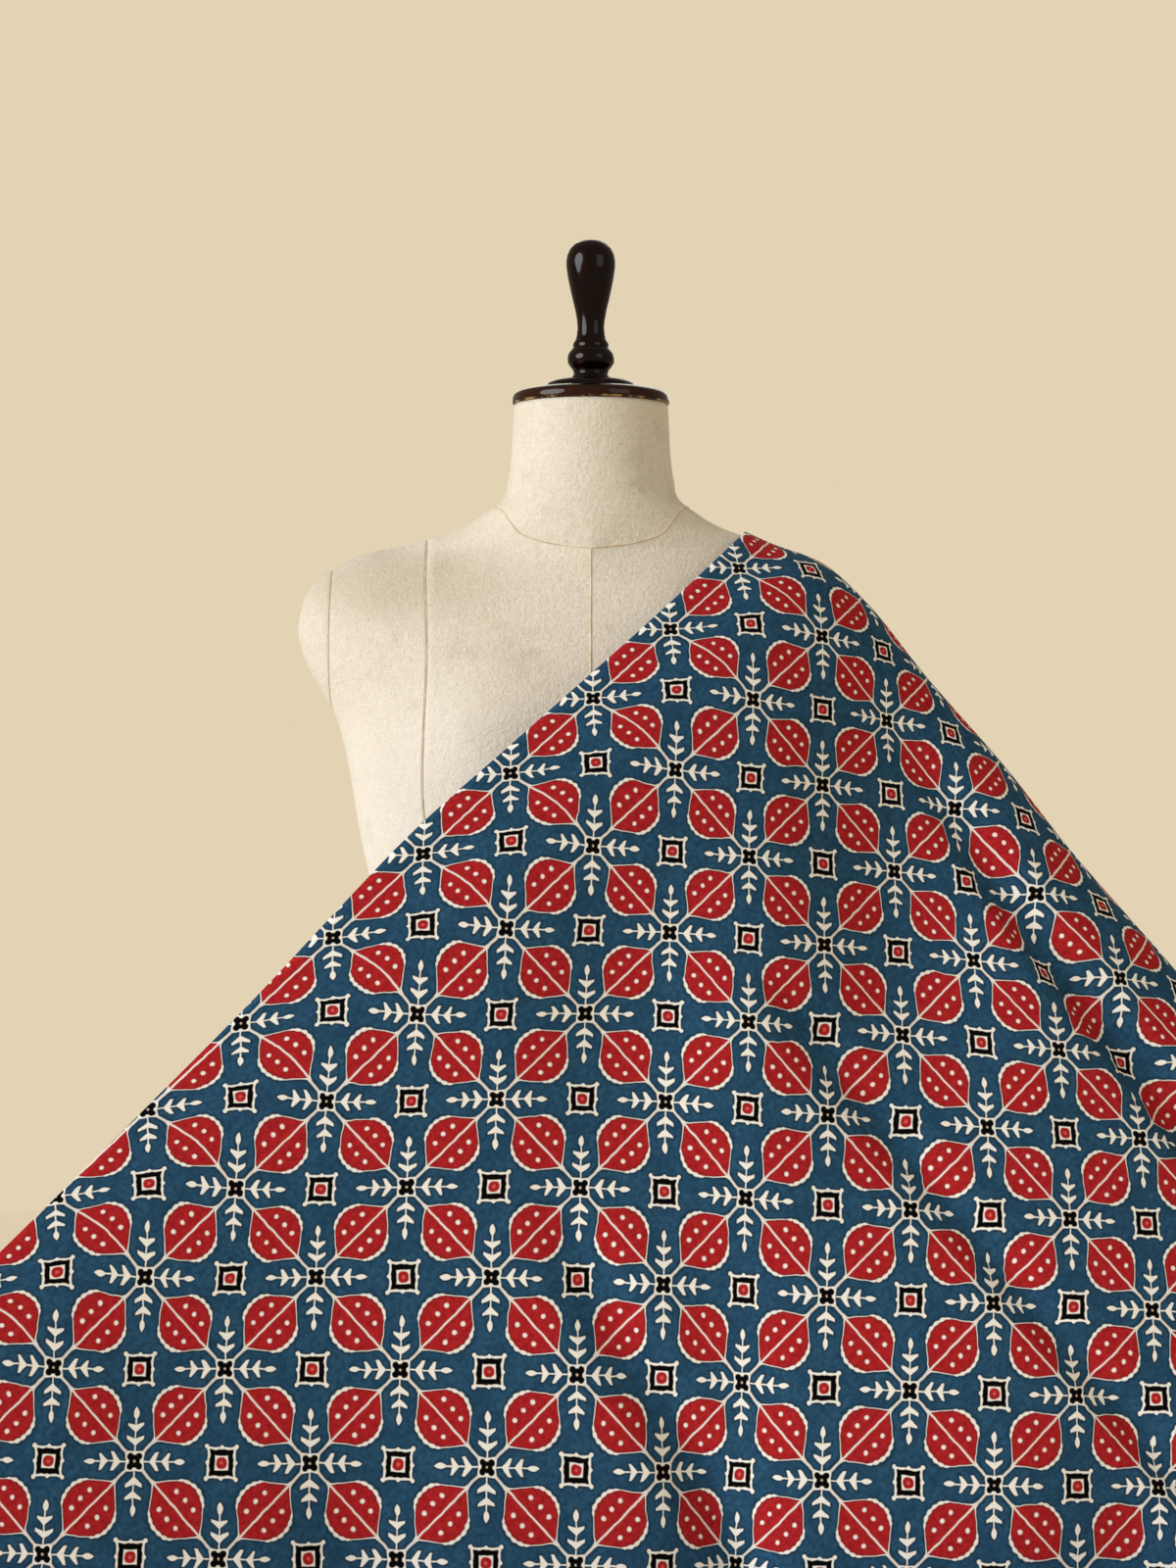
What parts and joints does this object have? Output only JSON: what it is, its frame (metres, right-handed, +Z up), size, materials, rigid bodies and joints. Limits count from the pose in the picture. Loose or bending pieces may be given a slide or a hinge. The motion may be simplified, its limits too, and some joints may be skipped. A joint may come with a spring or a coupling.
{
  "type": "ajrakh cotton fabric draped on a dress form",
  "caption": "Block-printed cotton sheet draped over one shoulder of a padded dress form, spreading as a tent with its hem lying on the floor.",
  "frame": {"origin": "on the floor, at the centre of the dress form's flat base", "axes": "+Z up; -Y is the side that the viewer faces; +X is the viewer's right, where the covered shoulder is"},
  "size_m": [1.3078, 0.7765, 0.8547],
  "materials": {
    "printed_cotton": "matt plain weave, indigo ground with red, black and cream print",
    "form_canvas": "matt cream canvas with a fine nap",
    "lacquered_wood": "glossy dark lacquer"
  },
  "bodies": {
    "root": {"cloth": "printed_cotton", "torso": "form_canvas", "arm_stump_left": "form_canvas", "arm_stump_right": "form_canvas", "neck_cap": "lacquered_wood", "finial": "lacquered_wood"}
  },
  "joints": []
}
